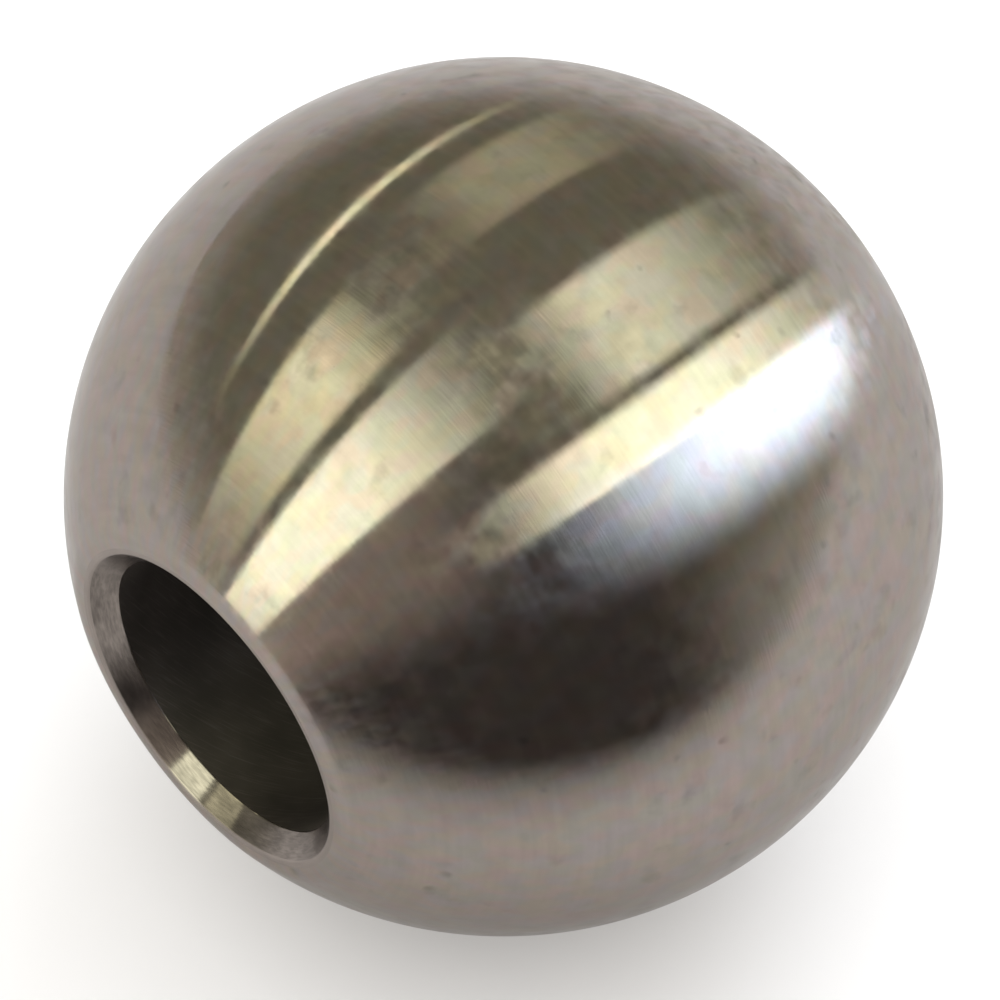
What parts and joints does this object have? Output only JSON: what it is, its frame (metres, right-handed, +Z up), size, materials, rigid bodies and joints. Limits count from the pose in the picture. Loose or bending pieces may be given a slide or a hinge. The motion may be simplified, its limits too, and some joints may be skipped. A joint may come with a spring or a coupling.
{
  "type": "hitch ball",
  "caption": "Bare ground-steel gooseneck hitch ball with a plain chamfered bore through its centre for a shank, and a narrow flat land round each mouth.",
  "frame": {"origin": "centre of the ball, midway between the two lands on the bore's axis", "axes": "+Y along the bore's axis, +Z up, +X completes the right-handed frame; the ball lies on its side, as it would on a bench"},
  "size_m": [0.0588, 0.0526, 0.0588],
  "materials": {
    "steel": "finely ground round the bore's axis, with an unplated warm grey shine"
  },
  "bodies": {
    "root": {"hitch_ball": "steel"}
  },
  "joints": []
}
